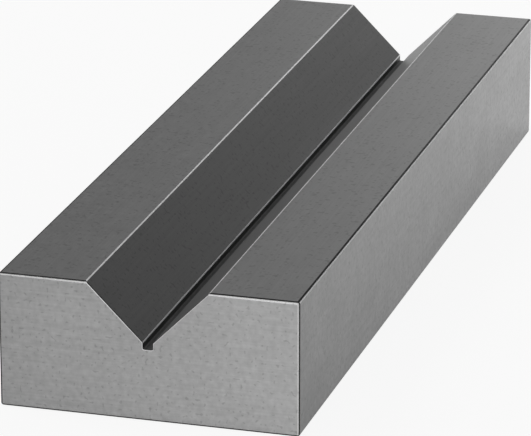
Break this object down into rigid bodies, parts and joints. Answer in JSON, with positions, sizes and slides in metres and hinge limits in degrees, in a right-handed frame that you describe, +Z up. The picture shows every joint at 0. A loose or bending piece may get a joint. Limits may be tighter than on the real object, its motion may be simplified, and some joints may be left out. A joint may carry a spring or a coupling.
{
  "type": "v block",
  "caption": "Long ground steel bar with a right-angled vee and a root relief slot along its top, for holding round work.",
  "frame": {"origin": "middle of the base, on the face the block rests on", "axes": "+Y along the vee, +Z up out of the vee's mouth, +X across the vee"},
  "size_m": [0.055, 0.18, 0.025],
  "materials": {
    "ground_steel": "satin"
  },
  "bodies": {
    "root": {"v_block": "ground_steel"}
  },
  "joints": []
}
